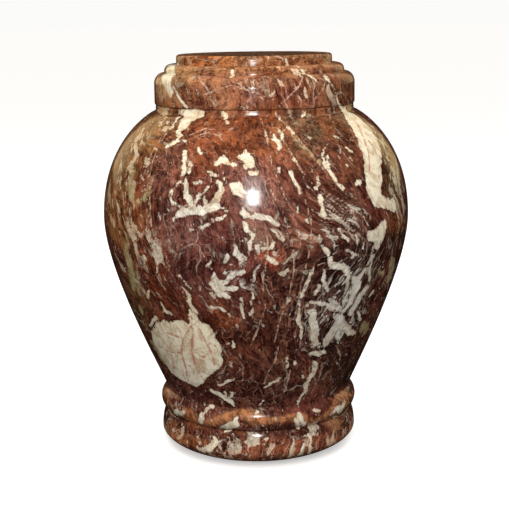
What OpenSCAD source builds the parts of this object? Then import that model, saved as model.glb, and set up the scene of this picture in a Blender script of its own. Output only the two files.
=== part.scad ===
// Lidded marble urn, turned on one axis: a hollow body with a rounded foot and a bead,
// and a stepped lid that lifts off. Origin at the centre of the underside, +Z up.

/* [Body] */
// Height of the body, from its underside to the rim that carries the lid
body_h = 228.2; // [190:0.2:276]
// Radius at the widest line of the belly
belly_r = 100.4; // [83:0.2:122]
// Height of the widest line of the belly
belly_z = 155.4; // [128:0.2:188]
// Share of the drop to the waist over which the belly stays full below its widest line
lower_fullness = 0.31; // [0.2:0.01:0.45]
// Share of the rise to the shoulder over which it stays full above its widest line
upper_fullness = 0.69; // [0.5:0.01:0.8]
// Slope of the shoulder from level, in degrees, where it meets the collar
shoulder_slope = 31; // [24:1:40]
// Height of the straight collar under the rim
collar_h = 2.8; // [1.5:0.1:5]
// Thickness of the wall, measured square to the outside
wall = 12; // [8:0.5:15]

/* [Foot and bead] */
// Radius of the flat that the urn stands on
underside_r = 49.3; // [40:0.1:58]
// Greatest radius of the rounded foot
foot_r = 65.4; // [62:0.1:78]
// Height of the foot's widest line
foot_z = 11.4; // [8:0.1:16]
// Radius at the bottom of the groove between the foot and the bead
groove_r = 61.4; // [58:0.1:63]
// Greatest radius of the bead
bead_r = 65.8; // [63:0.1:69]
// Height of the bead's middle
bead_z = 32.2; // [26:0.1:39]
// Radius of the bead's round section
bead_round = 8.5; // [7:0.1:10.4]
// Radius of the waist, where the belly springs from the bead
waist_r = 62.3; // [60:0.1:64.5]
// Lean of the belly from upright, in degrees, where it springs from the waist
waist_lean = 20; // [12:1:30]

/* [Cavity] */
// Thickness of the floor
floor_t = 16; // [12:0.5:22]
// Radius of the level part of the floor
floor_r = 26; // [10:0.5:32]
// Radius of the mouth
mouth_r = 47; // [38:0.5:57]
// Depth of the mouth's straight bore below the rim
bore_l = 12; // [10:0.5:15]
// Chamfer round the mouth's edge
mouth_chamfer = 1; // [0.5:0.1:2]

/* [Lid] */
// Radius of the lid's band
lid_r = 65.1; // [54:0.1:79]
// Height of the band
band_h = 20.4; // [16:0.1:25]
// Height of the middle step
step_h = 5.4; // [4.5:0.1:7]
// Height of the top step
top_h = 6; // [4:0.1:8]
// Set-back of the middle step from the band
step_in = 6.7; // [6:0.1:10]
// Set-back of the top step from the middle step
top_in = 7.9; // [6:0.1:11]
// Width of the rounding along the band's upper edge
band_round_w = 5.8; // [3:0.1:5.9]
// Height of the rounding along the band's upper edge
band_round_h = 7.1; // [3:0.1:9]
// Rounding of the middle step's upper edge
step_round = 4.4; // [2:0.1:4.4]
// Rounding of the top step's upper edge
top_round = 1.8; // [0.5:0.1:3]
// Rounding of the band's lower edge
arris_round = 1.4; // [0.5:0.1:2.5]
// Depth of the spigot that keeps the lid in the mouth
spigot_l = 8; // [5:0.5:9.5]
// Clearance between the spigot and the mouth, all round
spigot_gap = 0.8; // [0.3:0.1:2]

/* [Hidden] */
$fn = 128;

curve_steps = 18;        // chords along each half of the belly
round_steps = 10;        // chords along each bead, blend or edge rounding
collar_in = 0.7;         // set-back of the collar from the lid's band
neck_flare = 3.2;        // width of the hollow blend from the shoulder to the collar
neck_rise = 2.3;         // height of that blend
waist_rise = 2.7;        // height of the hollow blend between the bead and the belly
rim_round = 0.8;         // rounding of the rim's outer edge
foot_lift = 14;          // slope, in degrees, at which the foot leaves the underside
waist_pull = 0.09;       // shares of a half's height that its end tangents reach
shoulder_pull = 0.08;
foot_pull = 0.38;        // the same for the foot, along and up
foot_side_pull = 0.47;
bowl_pull = 0.6;         // the same for the cavity's rounded bottom

collar_r = lid_r - collar_in;
bead_c = [bead_r - bead_round, bead_z];
bead_low = -acos((groove_r - bead_c[0]) / bead_round);
bead_high = acos((waist_r - bead_c[0]) / bead_round);
groove_z = bead_z + bead_round * sin(bead_low);
waist = [waist_r, bead_z + bead_round * sin(bead_high) + waist_rise];
widest = [belly_r, belly_z];
neck = [collar_r + neck_flare, body_h - collar_h - neck_rise];
lower_h = belly_z - waist[1];
upper_h = neck[1] - belly_z;

// The belly's two halves, each as the four control points of a Bezier curve
lower_belly = [
    waist,
    waist + polar(lower_h * waist_pull, 90 - waist_lean),
    widest - [0, lower_h * lower_fullness],
    widest,
];
upper_belly = [
    widest,
    widest + [0, upper_h * upper_fullness],
    neck + polar(upper_h * shoulder_pull, -shoulder_slope),
    neck,
];

function polar(length, angle) = length * [cos(angle), sin(angle)];

// Point and direction at share t of a Bezier curve with control points c
function bezier_at(c, t) =
    let (s = 1 - t) s*s*s*c[0] + 3*s*s*t*c[1] + 3*s*t*t*c[2] + t*t*t*c[3];
function bezier_way(c, t) =
    let (s = 1 - t) s*s*(c[1] - c[0]) + 2*s*t*(c[2] - c[1]) + t*t*(c[3] - c[2]);

// Points along a Bezier curve, without its first one, set in by a distance on its left
function bezier(c, steps, inset = 0) = [
    for (i = [1:steps]) inset_at(c, i / steps, inset)
];
function inset_at(c, t, inset) =
    let (way = bezier_way(c, t)) bezier_at(c, t) + inset * [-way[1], way[0]] / norm(way);

// Points along an arc of an ellipse, without its first one
function arc(centre, rx, ry, from, to) = [
    for (i = [1:round_steps])
        let (a = from + (to - from) * i / round_steps) centre + [rx * cos(a), ry * sin(a)]
];

function backwards(points) = [for (i = [len(points) - 1:-1:0]) points[i]];

function foot_outline() = concat(
    [[0, 0], [underside_r, 0]],
    bezier([
        [underside_r, 0],
        [underside_r, 0] + polar((foot_r - underside_r) * foot_pull, foot_lift),
        [foot_r, foot_z * (1 - foot_side_pull)],
        [foot_r, foot_z],
    ], round_steps),
    arc([groove_r, foot_z], foot_r - groove_r, groove_z - foot_z, 0, 90),
    arc(bead_c, bead_round, bead_round, bead_low, bead_high),
    bezier([
        bead_c + polar(bead_round, bead_high),
        bead_c + polar(bead_round, bead_high) + polar(waist_rise / 2, bead_high + 90),
        waist - polar(waist_rise / 2, 90 - waist_lean),
        waist,
    ], round_steps)
);

function neck_outline() = concat(
    bezier([
        neck,
        neck + polar(neck_flare / 2, 180 - shoulder_slope),
        [collar_r, body_h - collar_h - neck_rise / 2],
        [collar_r, body_h - collar_h],
    ], round_steps),
    [[collar_r, body_h - rim_round]],
    arc([collar_r - rim_round, body_h - rim_round], rim_round, rim_round, 0, 90)
);

function cavity_outline() =
    let (
        spring = inset_at(lower_belly, 0, wall),
        drop = (spring[1] - floor_t) * bowl_pull,
        low = concat([spring], bezier(lower_belly, curve_steps, wall)),
        high = bezier(upper_belly, curve_steps, wall),
        bowl = bezier([
            spring,
            spring - polar(drop, 90 - waist_lean),
            [floor_r + (spring[0] - floor_r) * bowl_pull, floor_t],
            [floor_r, floor_t],
        ], round_steps)
    )
    concat(
        [
            [mouth_r + mouth_chamfer, body_h],
            [mouth_r, body_h - mouth_chamfer],
            [mouth_r, body_h - bore_l],
        ],
        backwards(high), backwards(low), bowl,
        [[0, floor_t]]
    );

module body() {
    color([0.42, 0.17, 0.12])
        rotate_extrude()
            polygon(concat(
                foot_outline(),
                bezier(lower_belly, curve_steps),
                bezier(upper_belly, curve_steps),
                neck_outline(),
                cavity_outline()
            ));
}

// Side and top edge of one step of the lid, rounded by a quarter of an ellipse
function rounded_step(r, z, w, h) = concat([[r, z - h]], arc([r - w, z - h], w, h, 0, 90));

module lid() {
    band_z = body_h + band_h;
    step_z = band_z + step_h;
    top_z = step_z + top_h;
    step_r = lid_r - step_in;
    top_r = step_r - top_in;
    spigot_r = mouth_r - spigot_gap;
    color([0.46, 0.21, 0.13])
        rotate_extrude()
            polygon(concat(
                [
                    [0, body_h - spigot_l],
                    [spigot_r - mouth_chamfer, body_h - spigot_l],
                    [spigot_r, body_h - spigot_l + mouth_chamfer],
                    [spigot_r, body_h],
                    [lid_r - arris_round, body_h],
                ],
                arc([lid_r - arris_round, body_h + arris_round], arris_round, arris_round, -90, 0),
                rounded_step(lid_r, band_z, band_round_w, band_round_h),
                [[step_r, band_z]],
                rounded_step(step_r, step_z, step_round, step_round),
                [[top_r, step_z]],
                rounded_step(top_r, top_z, top_round, top_round),
                [[0, top_z]]
            ));
}

body();
lid();
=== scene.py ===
from math import degrees, radians

import bpy
import numpy as np
from mathutils import Matrix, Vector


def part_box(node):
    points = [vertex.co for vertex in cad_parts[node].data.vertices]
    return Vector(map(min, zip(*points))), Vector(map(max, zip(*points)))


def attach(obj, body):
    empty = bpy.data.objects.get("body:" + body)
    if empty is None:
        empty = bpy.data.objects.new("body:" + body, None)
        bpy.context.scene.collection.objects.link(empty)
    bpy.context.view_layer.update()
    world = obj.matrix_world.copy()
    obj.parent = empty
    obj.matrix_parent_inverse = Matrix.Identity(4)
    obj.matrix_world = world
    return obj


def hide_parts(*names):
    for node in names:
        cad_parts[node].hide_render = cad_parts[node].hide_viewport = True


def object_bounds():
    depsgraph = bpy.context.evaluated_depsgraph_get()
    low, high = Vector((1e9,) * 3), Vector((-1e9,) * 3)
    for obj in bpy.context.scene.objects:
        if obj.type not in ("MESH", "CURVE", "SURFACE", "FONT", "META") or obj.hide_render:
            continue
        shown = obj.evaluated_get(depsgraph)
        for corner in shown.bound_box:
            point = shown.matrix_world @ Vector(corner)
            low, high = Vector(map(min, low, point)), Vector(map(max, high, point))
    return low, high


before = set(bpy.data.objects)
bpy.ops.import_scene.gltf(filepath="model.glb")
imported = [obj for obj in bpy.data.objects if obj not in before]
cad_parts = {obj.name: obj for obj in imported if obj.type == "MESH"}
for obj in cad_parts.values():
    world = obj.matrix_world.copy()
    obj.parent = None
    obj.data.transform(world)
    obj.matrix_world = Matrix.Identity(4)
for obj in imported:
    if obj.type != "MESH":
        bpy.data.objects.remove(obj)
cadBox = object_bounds()
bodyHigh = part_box("body")[1]
lidLow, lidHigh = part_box("lid")


# Curves of the turned outline, in millimetres, as (radius, height) rows
def direction(length, angle):
    # a step of that length at that angle above the horizontal
    return length * np.array([np.cos(radians(angle)), np.sin(radians(angle))])


def bezier(start, pull, push, end, spacing):
    # cubic Bezier: the four points weighted by the powers of t and 1 - t
    count = max(5, int(np.hypot(*(np.subtract(end, start))) * 1.15 / spacing))
    t = np.linspace(0, 1, count)[:, None]
    ends = (1 - t) ** 3 * np.array(start) + t ** 3 * np.array(end)
    return ends + 3 * (1 - t) ** 2 * t * np.array(pull) + 3 * (1 - t) * t * t * np.array(push)


def roundEdge(centre, across, up, fromAngle, toAngle, count=9):
    # part of an ellipse: centre plus its half axes times the cosine and sine of the angle
    angle = np.radians(np.linspace(fromAngle, toAngle, count))
    return np.stack([centre[0] + across * np.cos(angle), centre[1] + up * np.sin(angle)], 1)


def straight(start, end, spacing):
    # evenly spaced points on a straight line
    count = max(2, int(np.hypot(*(np.subtract(end, start))) / spacing) + 1)
    return np.linspace(start, end, count)


def joinParts(parts):
    # the parts one after another, leaving out a point that repeats the one before it
    points = np.vstack(parts)
    step = np.hypot(*np.diff(points, axis=0).T)
    return points[np.concatenate([[True], step > 1e-4])]


def lengthTo(points, share=1):
    # length from the first point to each one, with every step multiplied by its share
    return np.concatenate([[0], np.cumsum(np.hypot(*np.diff(points, axis=0).T) * share)])


def setIn(points, wall):
    # each point moved to the left of the way the curve runs, by the thickness of the wall
    way = np.gradient(points, axis=0)
    way /= np.hypot(way[:, 0], way[:, 1])[:, None]
    return points + wall * np.stack([-way[:, 1], way[:, 0]], 1)


# How the stone's pattern is laid on the outline: a place on the outside is given by its azimuth,
# in degrees right of the front, and its height along the outline, in millimetres from the
# foot's resting edge up to the lid's centre
pattern = {
    "farAway": 30.0,      # mm, kept wherever no stroke is near
    "stepsFrom": 284,     # mm along the outline where the lid's steps begin
    "stepStretch": 1.4,   # length added there, for a finer pattern on them
    "topFrom": 44,        # mm from the seam to the lid's flat top
}


def awayFrom(azimuth, centre):
    # signed angle from the centre, in degrees, going the short way round
    return (azimuth - centre + 180) % 360 - 180


def hill(azimuth, along, centre, width, tall):
    # a smooth hill: 1 at its centre, falling off as the square of the distance in half widths
    across = awayFrom(azimuth, centre[0]) / width
    return np.exp(-across ** 2 - ((along - centre[1]) / tall) ** 2)


def highest(azimuth, along, hills):
    # the highest of several hills, each multiplied by its share
    return np.max([share * hill(azimuth, along, (az, up), width, tall)
                   for share, az, up, width, tall in hills], 0)


def strokeDistance(azimuth, along, radius, strokes):
    # millimetres from the nearest stroke's edge, negative within it: a stroke is a chain of
    # straight lines whose half width goes evenly from one of its points to the next
    nearest = np.full(azimuth.shape, pattern["farAway"])
    for stroke in strokes:
        for (az0, up0, half0), (az1, up1, half1) in zip(stroke, stroke[1:]):
            x = np.radians(awayFrom(azimuth, az0)) * radius
            y = along - up0
            lineX = radians(az1 - az0) * radius
            lineY = up1 - up0
            t = np.clip((x * lineX + y * lineY) / (lineX ** 2 + lineY ** 2 + 1e-9), 0, 1)
            gap = np.hypot(x - t * lineX, y - t * lineY) - half0 - t * (half1 - half0)
            nearest = np.minimum(nearest, gap)
    return nearest


def wander(azimuth, along, radius):
    # steps of up to 0.6 mm, from sines of the place, whose own phases are pushed by slower
    # sines, so that a stroke's edges pinch and bend
    x = radius * np.sin(np.radians(azimuth))
    y = radius * np.cos(np.radians(azimuth))
    across = .4 * np.sin(along / 2.1 + 1.3 * np.sin((x + y) / 2.9))
    across = across + .2 * np.sin(along / 1.1 + x / 1.7 - y / 2.1)
    up = .4 * np.sin(x / 2.2 + y / 2.7 + 1.1 * np.sin(along / 2.9))
    up = up + .2 * np.sin(y / 1.4 - along / 1.6)
    return azimuth + np.degrees(across / np.maximum(radius, 8)), along + up


def linear(colour):
    # display colour, 0 to 255, turned to the linear light that the shader works in
    share = np.array(colour, float) / 255
    return np.where(share < .04045, share / 12.92, ((share + .055) / 1.055) ** 2.4)


# Strokes are (azimuth, height along, half width in mm)
paleStrokes = [
    # patch below the lid on the left, with its strands
    [(-46, 260, 1.2), (-41, 259, 3), (-35, 258, 4.5), (-31, 259, 3)],
    [(-36, 255, 5.5), (-36.3, 249, 4.2), (-36.5, 244, 2.4), (-36, 240, 1)],
    [(-44, 255, 1), (-43, 250, .8), (-43, 245, 1.4)],
    [(-36, 241, 1), (-34, 239, 1), (-36, 235, 1.2), (-39, 231, .8)], [(-36, 235, 1), (-31, 236, .6)],
    [(-17.5, 260, 1.2), (-15.5, 257, 1.2), (-13.5, 250, .5)],
    # bars and dashes
    [(-29, 229, 1.6), (-28, 221, 1.6), (-27.3, 214, 1.2)], [(-25.6, 223, .6), (-24.6, 216, .8)],
    [(-23.5, 231, .7), (-21.5, 228, .9)], [(-18, 217, .9), (-16, 216, .8)],
    [(-16.5, 214.5, .4), (-13.5, 214, .4)], [(-1.5, 216, .9), (.5, 216, .9)],
    # the pair of blobs
    [(-15, 221, 1.4), (-12.5, 224, 2.4), (-11, 223, 1.6)], [(-11, 222, 1), (-7.5, 221, 1)],
    [(-5, 225, 2.2), (-3.5, 226, 2.8), (-2, 222, 2.6), (-3.5, 219.5, 1.6)],
    [(-3.8, 230, .5), (-3.8, 227, 1.5)], [(-8.5, 208, 1.5), (-6.5, 206, 3.5), (-4.5, 204, 2.2)],
    # leaf-like splash
    [(-27.5, 190, 1.8), (-24, 192, 2), (-20, 193, 2.6), (-16, 194.5, 3), (-13.5, 196, 2.6)],
    [(-26, 211, .9), (-25.3, 205, 1.4), (-23.5, 198, 1.5), (-22, 195, 1.5)],
    [(-17, 207, .6), (-19.5, 203, .9), (-21, 197, 1.2)], [(-17.8, 202, .5), (-17.8, 198, 1)],
    [(-15, 197, 2.2), (-12.8, 202, 1.6), (-12, 206, 1.4), (-12.5, 209, 1.2), (-14, 210, .8)],
    [(-11.5, 213, .7), (-10.3, 210, .6)],
    [(-30.5, 205, .5), (-31.2, 200, .7), (-31, 198, .9), (-28, 196, .8), (-26, 193, 1)],
    [(-25.5, 209, .6), (-30, 208, .4)], [(-22, 209.5, .5), (-19.5, 210, .6)],
    [(-12.8, 196, .4), (-10.5, 194, .5), (-8.5, 195, .5)],
    [(-14.5, 188, .5), (-12.5, 189, 1), (-10.5, 190.5, .7)],
    [(-23, 181.5, 1), (-19, 183, .9), (-16, 185, .6)], [(-28.5, 188, 1), (-29, 186, .8)],
    # down the middle
    [(-4.5, 193, 2), (-3, 191, 1.8)],
    [(-2.5, 190, 1.2), (1.5, 190, 1.4), (4, 189, 1.4), (6, 186.5, 1), (7.5, 185, .8)],
    [(-4, 187, .8), (-3, 182, 1.2), (-1, 179, 1.2), (-2, 175, 1.2), (-2, 171, .9)],
    [(-7, 173, 1.3), (-7, 168, 2), (-4.5, 165, 1.6)], [(-10, 166, 1.5), (-11, 163, .9)],
    [(2, 172, .8), (5, 171, 1.2), (6, 174, .8)], [(3, 167, .5), (5, 164, .9), (7, 162, 1)],
    [(-4.5, 157, 1.2), (-8, 155, 1.5), (-10, 152, 1.5), (-12.5, 148.5, 2.2), (-15.5, 148, 2.8)],
    [(-15, 155, .9), (-15, 151, 2), (-15, 146, 2.6), (-13, 141.5, 2.4), (-11, 140, 1.6)],
    [(-12, 146, 2), (-8, 145.5, 1.4), (-6, 145, .7)], [(-17, 142, 1.4), (-16, 139.5, 1)],
    [(-17, 160, .5), (-15.5, 163, .4)], [(-18, 132, .8), (-15, 131.5, .8), (-12.5, 130, .8)],
    [(-11, 128, .7), (-10.5, 126, .6)], [(-5.7, 138, .5), (-5.9, 130, .6), (-5.5, 124, .4)],
    [(-1.5, 143, .4), (-2, 133, .5), (-2.5, 127, .8)], [(-10.5, 108, .4), (-10.8, 103, .6)],
    [(-29, 152, .5), (-26, 147, .8), (-25, 144, .5)],
    [(-28, 144, .6), (-26.5, 139, .9), (-26, 132, 1.2), (-24.5, 126, .9)],
    # specks in the red-brown ground on the left
    [(-44, 162, .9), (-43, 160, .6)], [(-39, 164, .8), (-37.5, 160, 1.1), (-38, 159, .8)],
    [(-38.5, 156, .7), (-38.5, 153, .7)], [(-40.5, 130, .8), (-40, 125, 1.4), (-36, 124, .8)],
    [(-46, 137, 1), (-48, 132, .7)], [(-47, 118, .7), (-51, 114, 1), (-55, 109, .7)],
    # the big round patch, low on the left
    [(-27, 128, .8), (-26, 122, 3.4), (-24.5, 112, 9), (-25, 102, 12), (-29, 93, 14), (-37, 86, 15)],
    [(-21.5, 99, 7.5), (-23, 92, 8)],
    [(-33, 112, 8), (-42, 104, 13), (-48, 94, 15), (-46, 84, 14), (-38, 80, 12)],
    # the long patch on the right shoulder
    [(61, 257, 3.5), (60, 250, 7.5), (58.5, 243, 10), (57, 235, 10.5), (54.5, 226, 10.5)],
    [(54.5, 226, 10.5), (51.5, 217, 8.5), (49, 208, 8), (47.5, 200, 7), (48, 194, 4.4), (54, 191, 3.4)],
    [(54, 191, 3.4), (59, 188, 4)], [(41, 206, 1), (38, 205, .7)],
    [(43.5, 173, 3), (48, 172, 5), (51, 177, 4), (48.5, 166.5, 3)],
    # upper right
    [(22.8, 212, .5), (22.6, 208, 1.2), (21.5, 205, .9)],
    [(23, 200, 1.6), (23, 195, 1.3), (23.3, 190, 1), (24.5, 186, .9)],
    [(29, 230, .9), (27, 225, .7), (26.5, 220, .8), (28.5, 214, 1.6), (30, 209, 1.2)],
    [(29, 224, .4), (28.3, 218, .5)], [(31, 206, 1), (32.5, 203, .8)],
    [(8.3, 241, 1), (8.8, 237, 1.3), (10, 235, 1.2), (9.5, 230, .8)],
    [(11.5, 244, .9), (12.3, 241, .9), (11.5, 238, .7)], [(4.7, 243, .4), (4.9, 240, .6)],
    [(29, 259, .7), (25.5, 255, .7)], [(12.5, 257, .8), (13, 253.5, .8)],
    [(15, 247, .7), (17, 242, .9)], [(14.4, 223.5, .7), (15, 222.5, .7)],
    [(36.5, 238, .9), (38, 236.5, .8)], [(40, 228, .8), (41.5, 226, .6)],
    [(36, 218, .8), (36.4, 217.5, .8)], [(9, 219, .5), (8.8, 216, .5)],
    [(13, 215, 1), (13.5, 212, .6), (14.5, 207, .8), (15.5, 203, .9)], [(14, 195, .5), (14.5, 191, .7)],
    [(17, 187, .8), (17.5, 185, .7)],
    # broken white field on the right
    [(21.5, 177, .7), (22.5, 172, 1), (25, 166, 1.2), (26, 162, 1.2), (28, 158, 2.2)],
    [(28, 158, 2.2), (31.5, 156, 2.2), (34, 152, 1.8), (35.5, 148, 1), (35.5, 140, 1)],
    [(29, 180, .7), (31, 175, .8), (33, 173, .8)], [(36.5, 175, .6), (37.5, 170, .6)],
    [(33, 166, .5), (39, 161, .5)],
    [(38, 147, 1), (40.5, 142, 3.2), (40.5, 137, 3.4), (39.5, 131, 2), (37, 124, 1.2)],
    [(43, 151, 1.2), (41, 146, 2)], [(46.5, 137, 2.4), (44, 131, 2.2), (42, 126, 2.2), (41, 121, 2)],
    [(46, 157, .8), (46, 150, 1), (47.5, 143, 1)],
    [(24, 156, .8), (24.5, 150, 1.1), (25.5, 145, 1), (27, 140, 1)], [(23, 145, 1), (22, 140, 1.4)],
    [(20.5, 134, .8), (23, 133, 1.4), (27, 131, 1), (30, 128, 1.8), (34, 126.5, 1.8), (37, 123, 1.2)],
    [(28, 135, .8), (33, 130, .8)],
    [(19.5, 128, .8), (22, 127, 1.8), (23, 120, 2.4), (24.5, 113, 3), (25, 107, 3), (26, 102, 1.6)],
    [(16, 131, .6), (16.5, 122, 1), (18, 116, .7), (19, 109, .7)],
    [(20, 157, .5), (18.5, 148, .7), (16.5, 142, .6), (16, 136, .4)],
    [(34, 121, 2), (36, 118, 3.2), (34, 111, 3.2), (32, 105, 3), (31.5, 101, 2)],
    [(38, 113, 2.6), (42, 110, 2.4), (45, 106, 2), (49, 104, 1.2)], [(46, 120, 1), (50, 114, .7)],
    [(51, 131, 1), (52.5, 133, 1)], [(11, 139, .5), (12, 137, .8), (11.5, 134, .5)],
    # the long vein and its companions, low on the right
    [(25.5, 95, 1.5), (29, 94, 2.4), (32, 95, 1.6)],
    [(27, 89, 1), (29, 85, 2), (29.5, 81, 1.6), (27.5, 76, 1.4), (26.7, 70, 1.8), (26.5, 64, 1.3)],
    [(26.5, 64, 1.3), (25, 59, .9), (24, 53, .7)], [(13.5, 97, .5), (14, 91, .9), (13.7, 86, .5)],
    [(17, 92, .6), (17.5, 88.5, 1.2)], [(23, 78, .8), (23, 76, .8)],
    [(11, 78.5, .8), (9, 76, .9), (6, 73, .6), (3.5, 71, .4)],
    [(3, 60, .3), (.5, 55, .4), (-1, 51, .5), (-2.5, 48, .5)],
    # low on the left
    [(-27, 66.5, 1), (-23, 64, 1.8), (-19, 61, 2), (-15.5, 58.5, 1.6), (-14.5, 56, 1)],
    [(-14.7, 66, .8), (-15.5, 62, .5)], [(-18, 66, .8), (-18.5, 63, .5)],
    [(-21, 71.5, .6), (-16, 75, .7), (-12, 78.5, .4)],
    # bead and foot
    [(-35, 40, 2), (-33, 46, 1.6), (-31, 51, 1), (-28, 53, .7)],
    [(-23.5, 36.5, .8), (-20, 39, 1.8), (-16, 41, 2.6), (-12.5, 43, 2), (-12, 46, 1)],
    [(-20, 33.5, .6), (-17, 36, .7)], [(21, 45, .6), (22.5, 40, 1), (24, 36, 1.2)],
    [(23, 48, 1), (25, 42, 1), (26.5, 38, 1.4)], [(33, 48, 1), (36, 46.5, 1)],
    [(46, 43, .8), (51, 45, 2), (56, 42, 2.6), (60, 46, 1.4)],
    [(50, 38, 1), (54, 36, 1.6), (59, 37, 1.2)],
    [(-47, 45, .8), (-51, 42, 1.8), (-55, 43, 2.2), (-59, 39, 1.6)],
    [(-26, 29, 1), (-25, 26, 1.4), (-29, 22, 2.6), (-34, 18, 2)],
    [(26, 29, 1.2), (30, 28.5, 1.8), (31, 25, 1)], [(25.5, 24, 1), (25.5, 17, 1.6)],
    [(20, 28, .6), (18, 21, .8), (18, 14, .8)], [(30, 22, 1), (31, 15, 1)],
    # lid
    [(-76, 296, 4), (-66, 288, 6), (-58, 280, 5), (-53, 272, 2.4)],
    [(-50, 276, .6), (-45, 270, .7), (-40, 264, .8)], [(-13, 291, .7), (-13, 284, .9)],
    [(44, 281, 1.4), (47, 277, 1.1), (50, 271, .8), (54, 264, .9), (58, 259, 1.2)],
    [(22, 302, .4), (28, 293, .5), (33, 284, .6), (36, 279, .4)],
    # the sides and the back, plainer
    [(118, 236, 1), (123, 224, 4), (126, 210, 5), (122, 198, 2), (125, 188, .6)],
    [(128, 226, .8), (131, 214, 2), (130, 202, .8)],
    [(147, 176, .8), (153, 167, 3), (157, 158, 7), (159, 146, 8), (155, 134, 4), (150, 124, 1)],
    [(159, 146, 5), (165, 138, 3), (168, 128, 1)], [(162, 166, .6), (168, 158, 2), (170, 146, 1)],
    [(-148, 218, .6), (-143, 209, 2), (-138, 202, 5), (-131, 196, 4), (-126, 186, .8)],
    [(-136, 192, 1), (-140, 184, 2.4), (-138, 176, .7)],
    [(-167, 124, .6), (-161, 116, 3), (-155, 110, 6), (-149, 103, 4), (-144, 94, .8)],
    [(-158, 100, .8), (-153, 94, 2.2), (-156, 86, .6)],
    [(-100, 150, 1), (-97, 138, 3), (-99, 122, 2), (-94, 110, 1)],
    [(92, 128, 1), (96, 116, 4), (94, 104, 3), (98, 92, 1)],
    [(178, 246, 1), (184, 230, 2), (181, 214, 1)], [(-178, 84, 1), (-172, 74, 3), (-176, 60, 1)],
    [(106, 180, .6), (112, 168, 1.6), (110, 156, .6)], [(140, 92, .6), (134, 80, 2), (138, 66, .8)],
    [(-118, 76, .6), (-112, 68, 2), (-116, 58, .6)], [(130, 46, 1), (138, 38, 2.6), (134, 22, 1.4)],
    [(-130, 48, 1), (-124, 40, 2.4), (-128, 18, 1.4)],
]

# rose veins drawn in the big patch and the shoulder patch
roseStrokes = [
    [(-27, 124, .5), (-28, 112, .5), (-31, 99, .6), (-32, 86, .5), (-30, 76, .3)],
    [(-25.5, 120, .4), (-23.5, 110, .6), (-21.5, 100, .6), (-21, 88, .4)],
    [(-28.5, 116, .4), (-34, 106, .6), (-38, 94, .7), (-39, 80, .5), (-41, 70, .3)],
    [(-23, 106, .4), (-18.5, 103, .4)], [(-21.5, 98, .4), (-26, 93, .5), (-31, 97, .4)],
    [(-34, 106, .5), (-42, 108, .5), (-50, 105, .4)], [(-38, 94, .5), (-46, 92, .6), (-55, 95, .4)],
    [(-46, 92, .5), (-48, 80, .5), (-52, 72, .3)], [(-31, 88, .4), (-36, 84, .4)],
    [(58, 246, .4), (54, 236, .5), (52, 226, .6), (47.5, 212, .4)], [(56, 232, .4), (57.5, 222, .4)],
    [(160, 168, .4), (158, 152, .7), (164, 138, .5)], [(154, 158, .4), (161, 150, .5), (168, 152, .3)],
]

# long pale threads that follow the fibres
threadStrokes = [
    [(-39, 259, .5), (-43, 246, .4), (-44, 232, .5), (-43, 214, .4), (-40, 194, .6), (-38, 176, .4)],
    [(-38, 176, .4), (-35, 160, .5), (-31, 150, .4), (-28, 139, .3)],
    [(-45, 238, .3), (-46, 224, .5), (-43, 206, .3), (-41, 188, .4), (-36, 172, .5), (-32, 160, .3)],
    [(-34, 232, .3), (-28, 238, .5), (-22, 243, .4), (-16, 241, .5), (-13, 236, .3)],
    [(-30, 240, .3), (-24, 246, .5), (-18, 245, .3), (-14, 241, .4)],
    [(11, 260, .5), (15, 248, .5), (19, 236, .4), (23, 224, .6), (27, 213, .4), (32, 203, .6),
     (38, 196, .4)],
    [(8, 250, .3), (13, 232, .4), (17, 216, .5), (22, 204, .4), (30, 194, .5), (38, 184, .4)],
    [(3, 256, .3), (5, 240, .5), (6, 222, .3), (9, 206, .5), (13, 190, .3), (15, 172, .4)],
    [(5, 206, .4), (9, 192, .5), (12, 176, .3), (13, 160, .5), (12, 142, .3), (9, 124, .4), (7, 106, .3)],
    [(17, 200, .3), (19, 184, .5), (18, 166, .3), (16, 148, .5), (15, 128, .4), (16, 108, .3)],
    [(24, 198, .4), (29, 190, .5), (34, 180, .6), (40, 172, .4)],
    [(25, 194, .4), (30, 184, .4), (35, 174, .5), (40, 163, .4)],
    [(26, 202, .3), (32, 196, .5), (38, 188, .4), (43, 180, .4)],
    [(3, 186, .3), (4, 170, .4), (2, 150, .5), (3, 132, .3), (0, 116, .5), (-3, 104, .3)],
    [(-22, 176, .3), (-18, 166, .5), (-16, 158, .4)], [(-50, 180, .4), (-45, 174, .5), (-41, 180, .4)],
    [(-47, 172, .3), (-42, 176, .4), (-38, 172, .3)],
    [(9, 104, .3), (8, 92, .4), (5, 84, .3), (3, 74, .4)], [(-10, 96, .3), (-7, 88, .4), (-8, 76, .3)],
    [(16, 84, .4), (15, 72, .5), (13, 60, .3)], [(33, 86, .4), (34, 72, .5), (31, 60, .4)],
    [(38, 98, .4), (44, 88, .5), (47, 76, .4)], [(-28, 272, .4), (-12, 278, .4), (6, 271, .3)],
    [(14, 266, .4), (24, 276, .5), (30, 286, .3)], [(-22, 266, .3), (-26, 276, .5), (-34, 284, .4)],
    [(34, 268, .4), (40, 274, .4), (45, 284, .3)],
]

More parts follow.
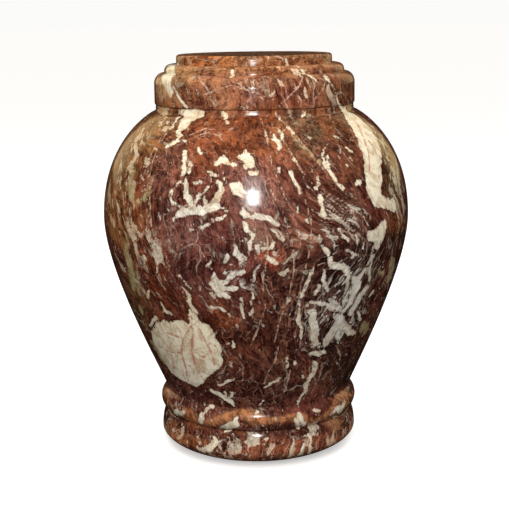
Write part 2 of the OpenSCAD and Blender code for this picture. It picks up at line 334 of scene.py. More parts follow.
# the same, for duller, greenish patches
dullStrokes = [
    [(-52, 172, 1.2), (-54, 164, 3), (-54.5, 158, 3.4), (-54.5, 150, 4), (-56, 143, 3.5), (-57, 137, 2.5)],
    [(-49, 156, 1), (-50, 150, 1.4), (-52, 140, 1.2), (-54, 133, 1)], [(-57, 123, 2), (-58, 118, 1.8)],
    [(-55, 216, 1), (-53, 212, 2.4), (-54, 204, 3), (-51, 199, 3), (-49, 195, 1.4)],
    [(-41, 209, .8), (-41.5, 202, 1), (-44, 196, 1), (-48, 195, 1)],
    [(-55, 186, .8), (-51, 190, .8), (-46, 193, .6)], [(53, 147, 1.2), (57, 144, 2)],
    [(62, 150, 3), (64, 144, 4.5), (66, 138, 4)], [(54, 108, 3), (58, 105, 4), (60, 101, 3)],
    [(16, 246, .8), (17.5, 236, .6), (21, 228, .6), (25, 220, .8)], [(-60, 92, 5), (-56, 84, 6)],
    [(106, 250, 4), (112, 240, 6)], [(-86, 196, 2), (-88, 184, 5), (-92, 172, 3)],
]

# ground colours, laid one over another: azimuth, height along, half widths in degrees and mm, colour;
# among them painted light and shade: painted shade in the groove, painted light and reflections on the
# bead, the foot and the lid's steps, a painted glow round the front highlight and painted warm
# reflections on the shoulders
groundsAndPaintedLight = [
    # (0, 245): the stone's warm tone with a painted warm reflection near the neck; (-62, 222): golden
    # ground that also paints a warm reflection at the left edge
    (0, 245, 62, 26, (138, 80, 46)), (-62, 222, 24, 44, (158, 116, 68)),
    # (-58, 186): golden ground that also paints the warm reflection at the left edge
    (-58, 186, 17, 24, (160, 112, 66)), (-20, 226, 12, 10, (138, 76, 44)),
    (-38, 212, 9, 20, (108, 72, 62)), (-30, 184, 9, 32, (100, 62, 56)),
    (-40, 150, 13, 28, (98, 44, 28)), (-48, 196, 9, 14, (132, 74, 40)),
    # (-2, 200): painted glow round the front highlight
    (-22, 162, 9, 30, (104, 62, 58)), (-2, 200, 15, 20, (140, 96, 88)),
    (-20, 200, 12, 10, (94, 46, 34)), (22, 246, 11, 18, (110, 92, 68)),
    (42, 250, 14, 10, (130, 88, 52)), (38, 222, 9, 15, (92, 54, 38)), (11, 238, 5, 12, (156, 98, 54)),
    (14, 190, 9, 44, (118, 70, 56)), (11, 136, 12, 32, (58, 25, 22)), (35, 135, 18, 48, (42, 24, 20)),
    (28, 218, 9, 16, (98, 60, 46)), (50, 158, 8, 14, (52, 32, 25)), (32, 192, 8, 12, (94, 66, 58)),
    # (66, 228): olive-gold painted reflection along the right edge of the shoulder
    (62, 160, 10, 12, (66, 30, 20)), (62, 176, 9, 8, (130, 80, 44)), (66, 228, 8, 34, (156, 136, 84)),
    (61, 204, 5, 10, (92, 76, 48)), (-2, 90, 24, 48, (76, 40, 35)), (-13, 128, 6, 12, (146, 76, 48)),
    (-10, 161, 3.5, 5, (158, 84, 52)), (4, 163, 4.5, 8, (170, 88, 62)), (3, 182, 5, 5, (138, 116, 104)),
    (-12, 177, 9, 20, (88, 46, 43)), (50, 78, 18, 22, (66, 46, 36)), (-62, 125, 12, 22, (116, 84, 52)),
    # (0, 18): a lighter ring all round the foot, a painted reflection of the floor
    (-4, 64, 26, 18, (60, 27, 23)), (0, 18, 400, 13, (166, 104, 78)), (-55, 18, 30, 13, (182, 124, 84)),
    # (0, 32): painted shade, a dark ring all round the groove; (0, 45): painted light, a lit ring all
    # round the bead's upper flank
    (0, 32, 400, 6, (80, 42, 34)), (0, 45, 400, 3.6, (184, 132, 90)), (-55, 40, 18, 8, (160, 100, 60)),
    (55, 39, 12, 8, (170, 128, 92)), (0, 276, 400, 14, (170, 124, 94)),
    # (0, 300) and (-48, 302): painted warm reflections on the rounded edges of the lid's steps
    (0, 300, 400, 12, (196, 146, 100)), (-48, 302, 34, 10, (206, 140, 84)),
    (0, 334, 400, 24, (136, 104, 74)), (-62, 282, 22, 14, (212, 176, 124)),
    (58, 274, 20, 16, (128, 86, 60)), (14, 271, 26, 8, (146, 94, 74)),
    (120, 200, 34, 50, (146, 100, 60)), (165, 110, 30, 45, (84, 44, 36)),
    (-130, 160, 34, 40, (104, 50, 36)), (-150, 235, 40, 24, (146, 96, 60)),
]

basicGround = (100, 48, 42)

# where white chips, combed fibres and the cooler shades gather:
# share, azimuth, height along, half widths in degrees and mm
shardHills = [
    (.62, 34, 130, 15, 34), (.8, 30, 182, 10, 14), (.8, -57, 205, 11, 44), (.8, 67, 205, 8, 50),
    (.5, 64, 130, 10, 30), (.55, 5, 172, 8, 16), (.8, 150, 140, 40, 50), (.48, 0, 20, 400, 14),
    (.20, -42, 148, 9, 26), (.30, -8, 142, 12, 22), (.18, 25, 276, 50, 18), (.8, -110, 90, 30, 40),
]
fibreHills = [(1, 12, 180, 15, 90), (.8, -36, 200, 14, 45)]
coldHills = [
    (1, 34, 132, 22, 60), (1, -8, 160, 14, 34), (.55, 0, 60, 200, 34), (.9, -22, 180, 15, 34),
    (.8, 4, 196, 16, 22),
]
# degrees that the fibres lean, and where, in the same order
leanHills = [
    (13, -62, 250, 26, 40), (-15, 36, 172, 20, 34), (9, 44, 128, 16, 24), (-12, -58, 110, 22, 30),
]


def groundAndPaintedLightColour(azimuth, along, radius):
    # each ground, the painted light and shade among them, laid over those before it, by a soft edge at
    # about one half width, which slow waves along and around push to and fro
    push = 4 * np.sin(along / 9 + np.radians(azimuth) * 5)
    push = push + 3 * np.sin(along / 5.3 - np.radians(azimuth) * 11)
    colour = np.repeat(linear(basicGround)[None], len(azimuth), 0)
    for az, up, wide, tall, shade in groundsAndPaintedLight:
        across = awayFrom(azimuth + push * .35, az) / wide
        height = (along + push * .8 - up) / tall
        share = np.clip(1.75 - 1.25 * np.hypot(across, height), 0, 1)[:, None]
        share = share * share * (3 - 2 * share)
        colour = colour * (1 - share) + linear(shade) * share
    return colour


def flowLean(azimuth, along):
    # degrees that the fibres have turned at each place: a gentle lean all over, steeper hills
    # of it on the two shoulders, and slow waves
    lean = .10 * (along - 180)
    for angle, az, up, width, tall in leanHills:
        lean = lean + angle * hill(azimuth, along, (az, up), width, tall)
    return lean + 2.2 * np.sin(along / 17 + np.radians(azimuth) * 3) + 1.2 * np.sin(along / 7.3)


def keep(mesh, name, kind, part, value):
    # an attribute on the mesh's vertices
    mesh.attributes.new(name, kind, "POINT").data.foreach_set(part, value.astype(np.float32).ravel())


def stonePattern(mesh, azimuth, along, radius, outside):
    # keeps on each vertex what the marble reads: flow place, colour with its painted light and shade,
    # distances, shares; the flow place stays level across the lid's flat top and the underside, as in a
    # slab
    held = np.clip(along, 0, seam + pattern["topFrom"])
    turned = np.radians(azimuth + flowLean(azimuth, held))
    lifted = held + pattern["stepStretch"] * np.clip(held - pattern["stepsFrom"], 0, None)
    flow = np.stack([radius * np.cos(turned), radius * np.sin(turned), lifted], 1) / 1000
    colour = groundAndPaintedLightColour(azimuth, along, radius)
    shards = highest(azimuth, along, shardHills) * outside
    fibres = highest(azimuth, along, fibreHills) * outside
    bentAz, bentUp = wander(azimuth, along, radius)
    values = {
        "pale": strokeDistance(bentAz, bentUp, radius, paleStrokes),
        "dull": strokeDistance(bentAz, bentUp, radius, dullStrokes),
        "rose": strokeDistance(azimuth, along, radius, roseStrokes),
        "thread": strokeDistance(azimuth, along, radius, threadStrokes),
    }
    for name, value in values.items():
        values[name] = np.where(outside > .5, value, pattern["farAway"])
    values.update(shards=shards, fibres=fibres, polish=outside, cold=highest(azimuth, along, coldHills))
    for name, value in values.items():
        keep(mesh, name, "FLOAT", "value", value)
    keep(mesh, "flow", "FLOAT_VECTOR", "vector", flow)
    keep(mesh, "tintAndPaintedLight", "FLOAT_COLOR", "color", np.concatenate([colour, np.ones((len(colour), 1))], 1))


# Turning an outline into a closed mesh
turning = {
    "frontHalf": 72,      # degrees each side of the front with the finest columns
    "frontStep": .75,     # degrees between columns there
    "backStep": 1.9,      # degrees between columns on the rest
    "insideShare": .3,    # of the baking map's height, for each mm of the inside
    "sharpAngle": 36,     # degrees between faces, above which an edge stays crisp
}


def columnAngles():
    # azimuths once round: fine across the front, coarser at the back, none repeated
    fine = np.linspace(-turning["frontHalf"], turning["frontHalf"],
                       int(2 * turning["frontHalf"] / turning["frontStep"]) + 1)
    rest = 360 - 2 * turning["frontHalf"]
    coarse = np.linspace(turning["frontHalf"], turning["frontHalf"] + rest,
                         int(rest / turning["backStep"]) + 1)
    return np.concatenate([fine, coarse[1:-1]])


def placed(name, data):
    # a new object in the scene
    thing = bpy.data.objects.new(name, data)
    bpy.context.scene.collection.objects.link(thing)
    return thing


def turnedPiece(name, outline, along, outside):
    # outline rows swept about the vertical axis: x = r sin(azimuth), y = -r cos(azimuth), with the
    # first and last rows drawn together into a pole
    angles = columnAngles()
    rows, columns = len(outline) - 2, len(angles)
    ring = outline[1:-1]
    spin = np.radians(angles)
    x = ring[:, :1] * np.sin(spin)
    y = -ring[:, :1] * np.cos(spin)
    z = np.repeat(ring[:, 1:], columns, 1)
    poles = np.array([[0, 0, outline[0, 1]], [0, 0, outline[-1, 1]]])
    points = np.concatenate([np.stack([x, y, z], 2).reshape(-1, 3), poles]) / 1000
    row, column = np.meshgrid(np.arange(rows - 1), np.arange(columns), indexing="ij")
    this = row * columns + column
    following = row * columns + (column + 1) % columns
    quads = np.stack([this, following, following + columns, this + columns], 2).reshape(-1, 4)
    around = np.arange(columns)
    follow = (around + 1) % columns
    last = (rows - 1) * columns
    lowFan = np.stack([np.full(columns, rows * columns), follow, around], 1)
    highFan = np.stack([np.full(columns, rows * columns + 1), last + around, last + follow], 1)
    mesh = bpy.data.meshes.new(name)
    mesh.from_pydata(points, [], quads.tolist() + lowFan.tolist() + highFan.tolist())
    mesh.update()
    # map for baking: the azimuth across, and up it the outline's length, with the outside given most
    length = lengthTo(outline, np.where(outside[1:] + outside[:-1] > 1, 1, turning["insideShare"]))
    up = .01 + .98 * length / length[-1]
    edges = np.concatenate([angles, [angles[0] + 360]])
    across = .005 + .99 * (edges - edges[0]) / 360
    left, right = across[:-1], across[1:]
    middle = (left + right) / 2

    def mapped(*corners):
        # the places on the map of each face's corners
        pairs = [np.stack(np.broadcast_arrays(*corner), -1) for corner in corners]
        return np.stack(pairs, -2).reshape(-1, 2)

    flat = np.concatenate([
        mapped((left[column], up[row + 1]), (right[column], up[row + 1]),
               (right[column], up[row + 2]), (left[column], up[row + 2])),
        mapped((middle, up[0]), (right, up[1]), (left, up[1])),
        mapped((middle, up[-1]), (left, up[-2]), (right, up[-2]))])
    mesh.uv_layers.new(name="OFBake").data.foreach_set("uv", flat.astype(np.float32).ravel())
    azimuth = np.concatenate([np.tile(angles, rows), [0, 0]])
    radius = np.concatenate([[.5], ring[:, 0], [.5]])
    stonePattern(mesh, azimuth, *[np.concatenate([np.repeat(value[1:-1], columns), value[[0, -1]]])
                                  for value in (along, radius, outside)])
    mesh.polygons.foreach_set("use_smooth", np.ones(len(mesh.polygons), bool))
    mesh.set_sharp_from_angle(angle=radians(turning["sharpAngle"]))
    print(name, "turned:", 2 * rows * columns, "triangles")
    return placed(name, mesh)


# Body, in millimetres and degrees, with its curves' fullness as shares of their height
body = {
    "undersideR": 49.3, "footR": 65.4, "footZ": 11.4, "grooveR": 61.4,
    "beadR": 65.8, "beadZ": 32.2, "beadRound": 8.5, "waistR": 62.3, "waistLean": 20,
    "bellyZ": 155.4, "lowerFullness": .31, "upperFullness": .69, "shoulderSlope": 31,
    "collarH": 2.8, "collarIn": .7, "neckFlare": 3.2, "neckRise": 2.3, "waistRise": 2.7,
    "rimRound": .8, "wall": 12, "floorT": 16, "floorR": 26, "mouthR": 47, "boreL": 12,
    "chamfer": 1, "spacing": 1.15,
}
bodyTop = bodyHigh.z * 1000
bellyR = bodyHigh.x * 1000
lidR = lidHigh.x * 1000
lidTop = lidHigh.z * 1000


def bodyOutline():
    # foot, groove, bead, hollow, belly, shoulder, hollow and collar, then back down the bore
    # and the cavity, whose wall is the belly's own curves set in by the wall's thickness
    b, gap = body, body["spacing"]
    beadC = np.array([b["beadR"] - b["beadRound"], b["beadZ"]])
    low = -degrees(np.arccos((b["grooveR"] - beadC[0]) / b["beadRound"]))
    high = degrees(np.arccos((b["waistR"] - beadC[0]) / b["beadRound"]))
    grooveZ = b["beadZ"] + b["beadRound"] * np.sin(radians(low))
    beadTop = beadC + direction(b["beadRound"], high)
    waist = np.array([b["waistR"], beadTop[1] + b["waistRise"]])
    widest = np.array([bellyR, b["bellyZ"]])
    collarR = lidR - b["collarIn"]
    neck = np.array([collarR + b["neckFlare"], bodyTop - b["collarH"] - b["neckRise"]])
    lowerH, upperH = widest[1] - waist[1], neck[1] - widest[1]
    collarFoot = [collarR, bodyTop - b["collarH"]]
    rimR = collarR - b["rimRound"]
    rimZ = bodyTop - b["rimRound"]
    mouthEdge = [b["mouthR"] + b["chamfer"], bodyTop]
    boreTop = [b["mouthR"], bodyTop - b["chamfer"]]
    floorEdge = [b["floorR"], b["floorT"]]
    edge = np.array([b["undersideR"], 0])
    lower = (waist, waist + direction(lowerH * .09, 90 - b["waistLean"]),
             widest - [0, lowerH * b["lowerFullness"]], widest)
    upper = (widest, widest + [0, upperH * b["upperFullness"]],
             neck + direction(upperH * .08, -b["shoulderSlope"]), neck)
    outer = [
        straight([0, 0], edge, 6),
        bezier(edge, edge + direction((b["footR"] - edge[0]) * .38, 14),
               [b["footR"], b["footZ"] * .53], [b["footR"], b["footZ"]], gap),
        roundEdge([b["grooveR"], b["footZ"]], b["footR"] - b["grooveR"], grooveZ - b["footZ"], 0, 90, 12),
        roundEdge(beadC, b["beadRound"], b["beadRound"], low, high, 20),
        bezier(beadTop, beadTop + direction(b["waistRise"] / 2, high + 90),
               waist - direction(b["waistRise"] / 2, 90 - b["waistLean"]), waist, .7),
        bezier(*lower, gap), bezier(*upper, gap),
        bezier(neck, neck + direction(b["neckFlare"] / 2, 180 - b["shoulderSlope"]),
               [collarR, bodyTop - b["collarH"] - b["neckRise"] / 2], collarFoot, .8),
        straight(collarFoot, [collarR, rimZ], gap),
        roundEdge([rimR, rimZ], b["rimRound"], b["rimRound"], 0, 90, 5),
    ]
    spring = setIn(bezier(*lower, gap), b["wall"])[0]
    drop = (spring[1] - b["floorT"]) * .6
    inner = [
        straight([rimR, bodyTop], mouthEdge, 4),
        straight(mouthEdge, boreTop, 1),
        straight(boreTop, [b["mouthR"], bodyTop - b["boreL"]], 3),
        setIn(bezier(*upper, 5), b["wall"])[::-1],
        setIn(bezier(*lower, 6), b["wall"])[::-1],
        bezier(spring, spring - direction(drop, 90 - b["waistLean"]),
               [b["floorR"] + (spring[0] - b["floorR"]) * .6, b["floorT"]], floorEdge, 5),
        straight(floorEdge, [0, b["floorT"]], 6),
    ]
    shell = joinParts(outer)
    whole = joinParts(outer + inner)
    along = lengthTo(whole) - b["undersideR"]
    outside = (np.arange(len(whole)) < len(shell)).astype(float)
    outside[along < -2] = 0
    return whole, along, outside


outline, alongBody, outside = bodyOutline()
seam = alongBody[outside > .5].max()
marbleBody = turnedPiece("marbleBody", outline, alongBody, outside)

# Lid, in millimetres
lid = {
    "bandH": 20.4, "stepH": 5.4, "stepIn": 6.7, "topIn": 7.9,
    "bandRoundW": 5.8, "bandRoundH": 7.1, "stepRound": 4.4, "topRound": 1.8, "arris": 1.4,
    "spigotR": 46.2, "chamfer": 1, "spacing": 1.1,
}


def lidOutline():
    # spigot, seat, then three steps, each with a quarter of an ellipse for its upper edge
    d, gap = lid, lid["spacing"]
    bandZ = bodyTop + d["bandH"]
    stepZ = bandZ + d["stepH"]
    stepR = lidR - d["stepIn"]
    topR = stepR - d["topIn"]
    foot = lidLow.z * 1000

    def step(r, z, wide, tall, count):
        return roundEdge([r - wide, z - tall], wide, tall, 0, 90, count)

    under = [
        straight([0, foot], [d["spigotR"] - d["chamfer"], foot], 6),
        straight([d["spigotR"], foot + d["chamfer"]], [d["spigotR"], bodyTop], 3),
        straight([d["spigotR"], bodyTop], [lidR - d["arris"], bodyTop], 4),
    ]
    over = [
        roundEdge([lidR - d["arris"], bodyTop + d["arris"]], d["arris"], d["arris"], -90, 0, 6),
        straight([lidR, bodyTop + d["arris"]], [lidR, bandZ - d["bandRoundH"]], gap),
        step(lidR, bandZ, d["bandRoundW"], d["bandRoundH"], 14),
        straight([lidR - d["bandRoundW"], bandZ], [stepR, bandZ], .5),
        straight([stepR, bandZ], [stepR, stepZ - d["stepRound"]], .5),
        step(stepR, stepZ, d["stepRound"], d["stepRound"], 10),
        straight([stepR - d["stepRound"], stepZ], [topR, stepZ], 1),
        straight([topR, stepZ], [topR, lidTop - d["topRound"]], 1),
        step(topR, lidTop, d["topRound"], d["topRound"], 7),
        straight([topR - d["topRound"], lidTop], [0, lidTop], 1.3),
    ]
    below = joinParts(under)
    whole = joinParts(under + over)
    along = lengthTo(whole)
    along += seam - along[len(below) - 1]
    outside = (np.arange(len(whole)) >= len(below) - 1).astype(float)
    return whole, along, outside


outline, alongLid, outside = lidOutline()
marbleLid = turnedPiece("marbleLid", outline, alongLid, outside)


class Signal:
    # wraps a socket, so that an expression on values adds its Math nodes
    def __init__(self, tree, socket=None):
        self.tree = tree
        self.socket = socket

    def node(self, kind, settings=None, values=None, output=0):
        # adds a node: its settings first, then the values or links of its sockets
        made = self.tree.nodes.new(kind)
        for name, value in (settings or {}).items():
            setattr(made, name, value)
        for name, value in (values or {}).items():
            if isinstance(value, Signal):
                self.tree.links.new(value.socket, made.inputs[name])
            else:
                made.inputs[name].default_value = value
        return Signal(self.tree, made.outputs[output]) if len(made.outputs) else None

    def math(self, operation, first, second=0.0):
        return self.node("ShaderNodeMath", {"operation": operation}, {0: first, 1: second})

    def __add__(self, other):
        return self.math("ADD", self, other)

    def __radd__(self, other):
        return self.math("ADD", other, self)

    def __sub__(self, other):
        return self.math("SUBTRACT", self, other)

    def __rsub__(self, other):
        return self.math("SUBTRACT", other, self)

    def __mul__(self, other):
        return self.math("MULTIPLY", self, other)

    def __rmul__(self, other):
        return self.math("MULTIPLY", other, self)

    def rise(self, low, high):
        # 0 below low, 1 above high, smooth between
        return self.node("ShaderNodeMapRange", {"interpolation_type": "SMOOTHSTEP"},
                         {"Value": self, "From Min": low, "From Max": high})

    def larger(self, other):
        return self.math("MAXIMUM", self, other)


marble = {
    "roughness": .12, "honed": .42, "ior": 1.52, "bump": .00004, "bumpStrength": .35,
    # 0 to 255; dark, middling and light multiply the zone's colour, painted light and shade included
    "colours": {
        "cream": (232, 222, 196), "creamShade": (198, 176, 140), "rose": (176, 110, 94),
        "cool": (224, 221, 210), "coolShade": (158, 148, 136), "white": (226, 214, 190),
        "dull": (190, 176, 132), "dullShade": (122, 98, 60), "thread": (204, 172, 148),
        "hair": (192, 126, 96), "coolHair": (184, 144, 134), "chip": (228, 214, 184),
        "warmGlow": (210, 126, 80), "coolGlow": (184, 132, 120), "spark": (255, 218, 184),
        "rust": (150, 72, 42), "soot": (34, 15, 14), "grit": (40, 16, 14), "dusk": (40, 18, 18),
        "rim": (176, 150, 124), "halo": (40, 18, 16),
        "dark": (118, 88, 80), "middling": (232, 224, 218), "light": (255, 232, 214),
    },
    # features in a metre
    "scales": {
        "cloud": 60, "grain": 330, "fibre": 260, "rust": 90, "soot": 120, "fleck": 640, "grit": 1050,
        "hair": 150, "longHair": 80, "wisp": 760, "dusk": 120, "longVein": 46, "shortVein": 150,
        "chip": 150, "fineChip": 380, "sliver": 210, "speck": 400, "splinter": 300, "crack": 190,
        "veil": 150, "rose": 100,
    },
    # how strongly each is laid on
    "shares": {
        "soot": .50, "longVein": .30, "shortVein": .38, "chip": .88, "speck": .62, "dull": .9,
        "rose": .82, "rim": .30, "halo": .30, "crack": .45,
    },
}


def makeMarble():
    material = bpy.data.materials.new("redMarble")
    material.use_nodes = True
    tree = material.node_tree
    tree.nodes.clear()
    s = Signal(tree)
    place = s.node("ShaderNodeTexCoord", output="Object")

    def kept(name, output="Fac"):
        return s.node("ShaderNodeAttribute", {"attribute_name": name}, output=output)

    def vector(operation, first, second):
        return s.node("ShaderNodeVectorMath", {"operation": operation}, {0: first, 1: second})

    shares = marble["shares"]

    def known(kind, value):
        # a name stands for its colour or scale
        return marble[kind][value] if isinstance(value, str) else value

    def cloud(where, scale, detail=3, roughness=.55, output="Fac"):
        return s.node("ShaderNodeTexNoise", None, {
            "Vector": where, "Scale": known("scales", scale), "Detail": detail,
            "Roughness": roughness}, output)

    def blend(share, first, second, kind="MIX"):
        shade = {}
        for key, value in ((0, share), (6, first), (7, second)):
            value = known("colours", value)
            shade[key] = tuple(linear(value)) + (1,) if isinstance(value, tuple) else value
        return s.node("ShaderNodeMix", {"data_type": "RGBA", "blend_type": kind}, shade, 2)

    def net(where, scale, width, soft):
        # thin lines along the borders of irregular cells: 1 on the border, 0 beyond the width
        border = s.node("ShaderNodeTexVoronoi", {"feature": "DISTANCE_TO_EDGE"},
                        {"Vector": where, "Scale": known("scales", scale)}, "Distance")
        return 1 - border.rise(width, width + soft)

    def hairline(where, scale, width):
        # a thin line wherever a smooth noise crosses its middle value
        level = cloud(where, scale, 4, .6) - .5
        return 1 - s.math("ABSOLUTE", level).rise(width * .35, width)

    def chips(where, scale):
        # a random share for each angular cell
        cell = s.node("ShaderNodeTexVoronoi", {"feature": "F1"},
                      {"Vector": where, "Scale": known("scales", scale)}, "Color")
        return s.node("ShaderNodeSeparateColor", None, {"Color": cell}, "Red")

    def stretched(where, up, across=1):
        return vector("MULTIPLY", where, (across, across, up))

    def moved(where, x, y, z):
        return vector("ADD", where, (x, y, z))

    flow, tintAndPaintedLight = kept("flow", "Vector"), kept("tintAndPaintedLight", "Color")
    pale, dull, cold = kept("pale"), kept("dull"), kept("cold")
    shardShare, fibreShare, polish = kept("shards"), kept("fibres"), kept("polish")

    # places pushed to and fro by slow and quick noise, so that no edge runs smooth
    slow = vector("SUBTRACT", cloud(flow, 42, 3, .6, "Color"), (.5, .5, .5))
    quick = vector("SUBTRACT", cloud(place, 300, 4, .65, "Color"), (.5, .5, .5))
    combed = vector("ADD", flow, vector("MULTIPLY", slow, (.005, .005, .01)))
    bent = vector("ADD", flow, vector("MULTIPLY", slow, (.016, .016, .022)))
    combed = vector("ADD", combed, vector("MULTIPLY", quick, (.0008, .0008, .002)))
    crumpled = vector("ADD", bent, vector("MULTIPLY", quick, (.003, .003, .004)))
    creased = vector("ADD", bent, vector("MULTIPLY", quick, (.0012, .0012, .0016)))

    jagged = cloud(stretched(crumpled, .55), 330, 8, .80) - .5

    # ground: the zone's colour, painted light and shade included, darkened and lightened by clouds, grains
    # and fibres
    clouds = cloud(bent, "cloud", 6, .68).rise(.36, .64)
    grains = cloud(crumpled, "grain", 6, .74).rise(.40, .60)
    fibre = cloud(stretched(combed, .14), "fibre", 8, .78).rise(.40, .60)
    mixed = clouds * (.42 - fibreShare * .16) + grains * (.28 - fibreShare * .10)
    mixed = mixed + fibre * (.30 + fibreShare * .26)
    dark = blend(1.0, tintAndPaintedLight, "dark", "MULTIPLY")
    light = blend(1.0, tintAndPaintedLight, "light", "MULTIPLY")
    light = blend(.18, light, blend(cold, "warmGlow", "coolGlow"))
    hairColour = blend(cold, "hair", "coolHair")
    middling = blend(1.0, tintAndPaintedLight, "middling", "MULTIPLY")
    ground = blend(mixed.rise(.24, .66), dark, middling)
    ground = blend(mixed.rise(.58, .84), ground, light)
    rust = cloud(moved(crumpled, .3, .1, .2), "rust", 6, .72).rise(.53, .60)
    ground = blend(rust * grains * (.34 - cold * .26), ground, "rust")
    soot = cloud(moved(crumpled, .1, .4, .7), "soot", 7, .76).rise(.53, .61)
    ground = blend(soot * shares["soot"], ground, "soot")

    # flecks: small rust-orange and near-black grains
    fleck = cloud(stretched(crumpled, .7), "fleck", 5, .74)
    spark = blend(1.0, light, "spark", "MULTIPLY")
    ground = blend(fleck.rise(.55, .62) * (.42 - cold * .22), ground, spark)
    ground = blend((1 - fleck.rise(.38, .45)) * .50, ground, "grit")

    # grit: the finest light and dark grains
    grit = cloud(place, "grit", 3, .7)
    ground = blend(grit.rise(.52, .60) * .20, ground, light)
    ground = blend((1 - grit.rise(.40, .48)) * .30, ground, "grit")

    # hair-fine lines that follow the flow
    patchy = cloud(bent, 40, 4, .62).rise(.44, .58)
    hair = hairline(stretched(combed, .10), "hair", .05)
    hair = hair.larger(hairline(stretched(moved(combed, .4, .1, .3), .16), "longHair", .026))
    hairShare = (.12 + fibreShare * .42) * (.25 + patchy * .75) * (.3 + grains * .7)
    ground = blend(hair * hairShare, ground, hairColour)
    wisps = cloud(stretched(combed, .06), "wisp", 5, .7).rise(.55, .62)
    ground = blend(wisps * (.08 + fibreShare * .34) * (.3 + patchy * .7), ground, hairColour)
    dusk = hairline(stretched(moved(combed, .2, .3, .1), .10), "dusk", .05)
    ground = blend(dusk * (.25 + fibreShare * .35), ground, "dusk")

    # sparse nets of thin pale veins
    broken = cloud(moved(bent, .5, .2, .1), 34, 4, .6).rise(.49, .57)
    thin = cloud(moved(crumpled, .7, .2, .6), 150, 4, .66).rise(.38, .5)
    longNet = net(stretched(creased, .45), "longVein", .004, .022)
    ground = blend(longNet * broken * thin * shares["longVein"], ground, "white")
    spread = cloud(moved(bent, .2, .6, .3), 40, 4, .6).rise(.5, .6)
    shortNet = net(stretched(creased, .7), "shortVein", .006, .04) * spread
    ground = blend(shortNet * thin * shares["shortVein"], ground, hairColour)

    # the drawn threads, broken here and there
    threads = 1 - (kept("thread") + jagged * 3.5).rise(-.3, .25)
    ground = blend(threads * (.15 + thin * .55), ground, "thread")

    # angular chips and splinters of white in the broken fields
    chip = chips(stretched(crumpled, .42), "chip")
    fineChip = chips(stretched(moved(crumpled, .3, .3, .3), .5), "fineChip")
    sliver = cloud(stretched(crumpled, .34), "sliver", 7, .76)
    chipShare = (chip - 1 + shardShare * .30).rise(0, .02) * sliver.rise(.44, .47)
    fineShare = (fineChip - 1 + shardShare * .30).rise(0, .04) * sliver.rise(.45, .49)
    streak = (sliver + shardShare * .10).rise(.62, .645)
    slivers = chipShare.larger(fineShare).larger(streak) * polish
    warmChip = blend(.30 + grains * .40, tintAndPaintedLight, "chip")
    chipShade = blend(cold, warmChip, blend(grains, "coolShade", "cool"))
    ground = blend(slivers * shares["chip"], ground, chipShade)
    speck = cloud(stretched(crumpled, .6), "speck", 5, .7).rise(.625, .66)
    speck = speck * (.25 + patchy * .75)
    ground = blend(speck * shares["speck"] * polish, ground, "white")

    # dull, greenish patches with streaky edges
    ragged = (cloud(stretched(crumpled, .6), 170, 5, .66) - .5) * 3.4 + jagged * 7.5
    dullEdge = dull + ragged * 1.5 + (fibre - .5) * 2
    dullGround = blend(grains * .6 + clouds * .4, "dullShade", "dull")
    ground = blend((1 - dullEdge.rise(-1.2, .8)) * shares["dull"], ground, dullGround)

    # pale patches and strokes: cream or cooler white, clouded, with a net of rose veins
    splinter = (cloud(stretched(crumpled, .40), "splinter", 5, .74) - .5) * 7
    small = pale.rise(-4, -1)
    paleEdge = pale - .12 + ragged * .62 + splinter * (.25 + small * .45)
    cracks = net(stretched(crumpled, .45), "crack", .008, .04) * small
    paleShare = (1 - paleEdge.rise(-.2, .2)) * (1 - cracks * shares["crack"])
    veiled = cloud(crumpled, "veil", 7, .74).rise(.44, .62)
    cream = blend(veiled, "cream", "creamShade")
    cooler = blend(veiled.larger(grains * .7), "cool", "coolShade")
    cream = blend(cold, cream, cooler)
    deep = 1 - pale.rise(-5, -1.5)
    roseEdge = 1 - (kept("rose") + .05 + ragged * .65).rise(-.2, .42)
    roseNet = net(stretched(crumpled, .6), "rose", .003, .03)
    roseNet = roseNet * cloud(bent, 90, 3, .5).rise(.4, .5) * (.2 + deep * .5)
    cream = blend(roseEdge.larger(roseNet) * shares["rose"], cream, "rose")
    rim = paleEdge.rise(-1.4, -.1)
    cream = blend(rim * shares["rim"], cream, "rim")
    halo = 1 - paleEdge.rise(0, 1.6)
    ground = blend(halo * shares["halo"], ground, "halo")
    colour = blend(paleShare, ground, cream)

    # polish: a little duller in clouds, honed on the underside and inside
    rough = marble["roughness"] + cloud(crumpled, 180, 3, .6).rise(.35, .7) * .05 + paleShare * .03
    rough = rough * polish + (1 - polish) * marble["honed"]
    height = cloud(crumpled, 300, 3, .6) * .6 + cloud(place, 40, 2, .5) + paleShare * .12
    bumped = s.node("ShaderNodeBump", None, {
        "Strength": marble["bumpStrength"], "Distance": marble["bump"], "Height": height}, "Normal")
    shader = s.node("ShaderNodeBsdfPrincipled", None, {
        "Base Color": colour, "Roughness": rough, "Normal": bumped, "IOR": marble["ior"]}, "BSDF")
    s.node("ShaderNodeOutputMaterial", None, {"Surface": shader})
    return material


redMarble = makeMarble()
for piece, node in ((marbleBody, "body"), (marbleLid, "lid")):
    piece.data.materials.append(redMarble)
    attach(piece, "root")
    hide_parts(node)
print("marble made:", len(redMarble.node_tree.nodes), "nodes")

# Floor, light and camera
studio = {
    "floorHalf": 30.0, "paper": (.9, .9, .89), "floorGlow": .46,
    "backdrop": .97, "above": .62, "below": .16,
    "reflectedLow": (.010, .007, .005), "reflectedHigh": (.20, .14, .08),
}


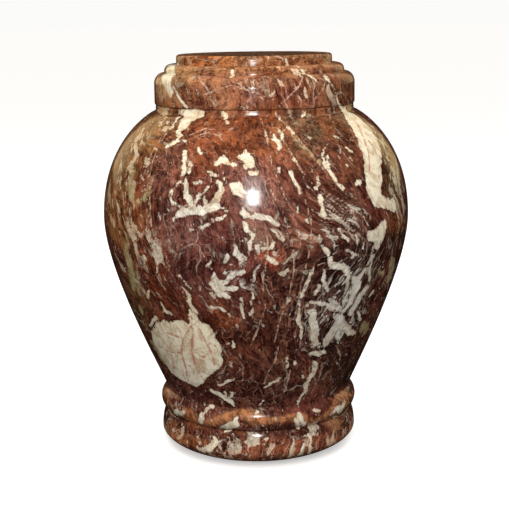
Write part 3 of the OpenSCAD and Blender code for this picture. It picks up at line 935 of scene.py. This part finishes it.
def pointedLight(name, azimuth, elevation, distance, size, colour, power,
                 glossy=True, diffuse=True, onto=None):
    # an area light on a sphere about the middle of the urn, facing it; onto names the one
    # piece that it lights
    middle = np.array([0, 0, (cadBox[0][2] + cadBox[1][2]) / 2])
    az, el = radians(azimuth), radians(elevation)
    way = np.array([np.sin(az) * np.cos(el), -np.cos(az) * np.cos(el), np.sin(el)])
    data = bpy.data.lights.new(name, "AREA")
    data.shape = "RECTANGLE"
    data.size, data.size_y = size
    data.color = colour
    data.energy = power
    light = placed(name, data)
    turn = Matrix.Rotation(az, 4, "Z") @ Matrix.Rotation(radians(90) - el, 4, "X")
    light.matrix_world = Matrix.Translation(middle + way * distance) @ turn
    light.visible_camera = False
    light.visible_glossy = glossy
    light.visible_diffuse = diffuse
    if onto:
        lit = bpy.data.collections.new(name + "Lit")
        lit.objects.link(onto)
        light.light_linking.receiver_collection = lit


# the lid has its own low key, which its flat top can't mirror
pointedLight("keyBox", -2, 21.5, .80, (.085, .15), (1, .99, .97), 1.9, onto=marbleBody)
pointedLight("keyGlow", -2, 27, .85, (.16, .34), (1, .96, .92), .8, onto=marbleBody)
pointedLight("lidKey", -2, 8.4, .80, (.07, .03), (1, .99, .97), .45, onto=marbleLid)
pointedLight("lidSoft", -2, 28, .80, (.2, .3), (1, .98, .95), 2.9, glossy=False, onto=marbleLid)
pointedLight("keySoft", -2, 32, .80, (.3, .4), (1, .96, .91), 2.8, glossy=False)
pointedLight("backSoftLeft", -145, 38, 1.3, (.8, .8), (1, .97, .93), 3.2, glossy=False)
pointedLight("backSoftRight", 145, 38, 1.3, (.8, .8), (1, .97, .93), 3.2, glossy=False)
pointedLight("warmLeft", -138, 24, 1.0, (.5, .7), (1, .72, .38), 1.1, diffuse=False)
pointedLight("warmRight", 138, 24, 1.0, (.5, .7), (1, .72, .38), .8, diffuse=False)
pointedLight("overhead", 0, 70, 1.4, (1.6, 1.2), (1, .98, .95), 7, glossy=False)

half = studio["floorHalf"]
floorMesh = bpy.data.meshes.new("floor")
square = [(x * half, y * half, 0) for x, y in ((-1, -1), (1, -1), (1, 1), (-1, 1))]
floorMesh.from_pydata(square, [], [(0, 1, 2, 3)])
floor = placed("floor", floorMesh)
paper = bpy.data.materials.new("paleFloor")
paper.use_nodes = True
surface = {
    "Base Color": studio["paper"] + (1,), "Roughness": .9, "Specular IOR Level": .1,
    "Emission Color": (1, 1, 1, 1), "Emission Strength": studio["floorGlow"],
}
for name, value in surface.items():
    paper.node_tree.nodes["Principled BSDF"].inputs[name].default_value = value
floorMesh.materials.append(paper)
floor.visible_glossy = False
floor.visible_diffuse = False

world = bpy.data.worlds.new("studio")
bpy.context.scene.world = world
world.use_nodes = True
world.node_tree.nodes.clear()
w = Signal(world.node_tree)
rays = w.node("ShaderNodeLightPath", output="Is Camera Ray")
mirrored = w.node("ShaderNodeLightPath", output="Is Glossy Ray")
facing = w.node("ShaderNodeTexCoord", output="Generated")
height = w.node("ShaderNodeSeparateXYZ", None, {0: facing}, 2)
strength = studio["below"] + height.rise(-.5, .6) * (studio["above"] - studio["below"])
soft = w.node("ShaderNodeBackground", None, {"Color": (1, .98, .95, 1), "Strength": strength})
shade = w.node("ShaderNodeMix", {"data_type": "RGBA"}, {
    0: height.rise(.15, .9), 6: studio["reflectedLow"] + (1,), 7: studio["reflectedHigh"] + (1,)}, 2)
dim = w.node("ShaderNodeBackground", None, {"Color": shade, "Strength": 1.0})
plain = w.node("ShaderNodeBackground", None, {"Color": (1, .995, .98, 1), "Strength": studio["backdrop"]})
lit = w.node("ShaderNodeMixShader", None, {0: mirrored, 1: soft, 2: dim})
seen = w.node("ShaderNodeMixShader", None, {0: rays, 1: lit, 2: plain})
w.node("ShaderNodeOutputWorld", None, {"Surface": seen})

view = {"distance": .7903, "height": .2842, "pitch": 11.38, "roll": -.75, "yaw": .1, "lens": 84.1}
camera = placed("camera", bpy.data.cameras.new("camera"))
camera.data.lens = view["lens"]
camera.data.sensor_width = 36
camera.data.clip_start = .01
camera.matrix_world = (
    Matrix.Translation((0, -view["distance"], view["height"]))
    @ Matrix.Rotation(radians(view["yaw"]), 4, "Z")
    @ Matrix.Rotation(radians(90 - view["pitch"]), 4, "X")
    @ Matrix.Rotation(radians(view["roll"]), 4, "Z"))
bpy.context.scene.camera = camera
bpy.context.scene.view_settings.view_transform = "Standard"
print("studio set")
